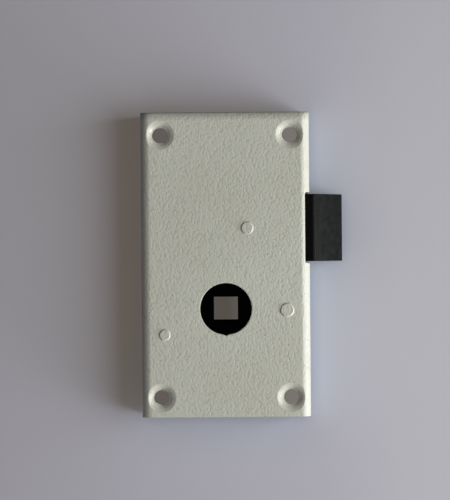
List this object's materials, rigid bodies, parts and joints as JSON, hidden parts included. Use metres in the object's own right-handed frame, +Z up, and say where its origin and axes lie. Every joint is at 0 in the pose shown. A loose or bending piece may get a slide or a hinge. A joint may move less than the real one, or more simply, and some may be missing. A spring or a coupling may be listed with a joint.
{
  "type": "rim door lock",
  "caption": "Surface-mounted door lock: folded steel case with dimpled screw holes, a sprung bevelled latch and a follower with a square hole for the handle's spindle.",
  "frame": {"origin": "on the spindle axis, in the plane that lies against the door", "axes": "+X towards the latch's nose, +Y back to the door, +Z up along the case"},
  "size_m": [0.0667, 0.0163, 0.1],
  "materials": {
    "case_paint": "off-white powder coat with a fine pebbled grain",
    "zinc_steel": "bright zinc plating",
    "rivet_steel": "bright zinc plating",
    "spring_steel": "drawn spring wire, lightly oiled",
    "latch_plastic": "black moulded plastic, satin",
    "follower_plastic": "black moulded plastic, satin",
    "nylon": "natural nylon"
  },
  "bodies": {
    "case": {"case_shell": "case_paint", "back_plate": "zinc_steel", "upper_post": "case_paint", "right_post": "case_paint", "left_post": "case_paint", "stop_sleeve": "nylon", "spring_bobbin": "nylon", "spring_saddle": "nylon", "latch_spring": "spring_steel", "follower_spring": "spring_steel"},
    "latch": {"latch_head": "latch_plastic", "latch_slide": "zinc_steel", "latch_rivets": "rivet_steel"},
    "follower": {"follower": "follower_plastic"}
  },
  "joints": [
    {"name": "follower_turn", "type": "hinge", "parent": "case", "child": "follower", "pos_m": [0, 0, 0], "axis": [0, -1, 0], "range_deg": [0, 38], "deforming": ["follower_spring"]},
    {"name": "latch_slide", "type": "slide", "parent": "case", "child": "latch", "axis": [-1, 0, 0], "range_m": [0, 0.0112], "stiffness_N_per_m": 500, "springref_m": -0.007, "deforming": ["latch_spring"]}
  ],
  "couplings": [
    {"joint": "follower_turn", "follows": "latch_slide", "rad_per_m": 59.21}
  ]
}
